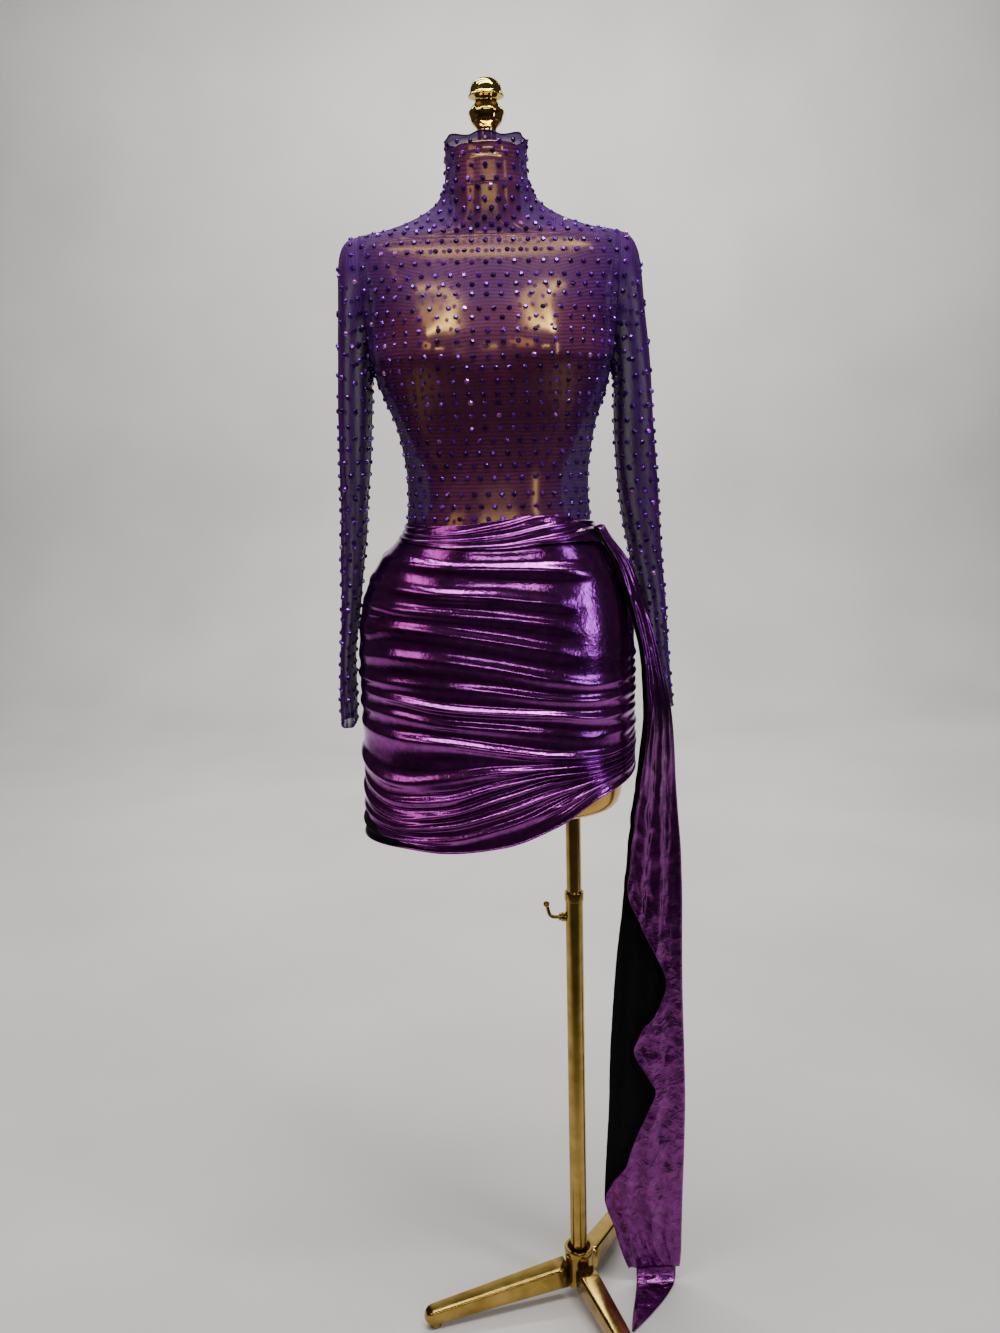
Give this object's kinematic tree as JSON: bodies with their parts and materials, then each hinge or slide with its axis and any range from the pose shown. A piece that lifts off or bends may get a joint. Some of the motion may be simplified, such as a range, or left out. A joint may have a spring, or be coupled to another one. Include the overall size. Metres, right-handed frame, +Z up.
{
  "type": "turtleneck mini dress on a limbless dress form with stand",
  "caption": "Sheer beaded turtleneck mini dress with a gathered metallic skirt and a long side train, on a limbless form and a three-legged stand.",
  "frame": {"origin": "centre of the footprint, on the floor", "axes": "+Z up, the dress faces -Y, the wearer's left is at +X"},
  "size_m": [0.4644, 0.4326, 1.6616],
  "materials": {
    "beaded_mesh": "sheer stretch mesh with rhinestones",
    "foil_jersey": "crinkled metallic foil on one side",
    "form_gold": "mirror-bright gold plating",
    "stand_brass": "polished"
  },
  "bodies": {
    "dress_on_stand": {"form_torso": "form_gold", "neck_cap": "form_gold", "finial": "form_gold", "bodice_front": "beaded_mesh", "bodice_back": "beaded_mesh", "collar": "beaded_mesh", "sleeve_right_upper": "beaded_mesh", "sleeve_right_lower": "beaded_mesh", "sleeve_left": "beaded_mesh", "skirt_front": "foil_jersey", "skirt_back": "foil_jersey", "waist_drape": "foil_jersey", "train": "foil_jersey", "pole_upper": "stand_brass", "pole_lower": "stand_brass", "hub": "stand_brass", "leg_right": "stand_brass", "leg_front": "stand_brass", "leg_rear": "stand_brass"},
    "lock_screw": {"lock_screw": "stand_brass"}
  },
  "joints": [
    {"name": "lock_screw_turn", "type": "hinge", "parent": "dress_on_stand", "child": "lock_screw", "pos_m": [0.0505, 0.004, 0.589], "axis": [1, 0, 0], "range_deg": [0, 180]}
  ]
}
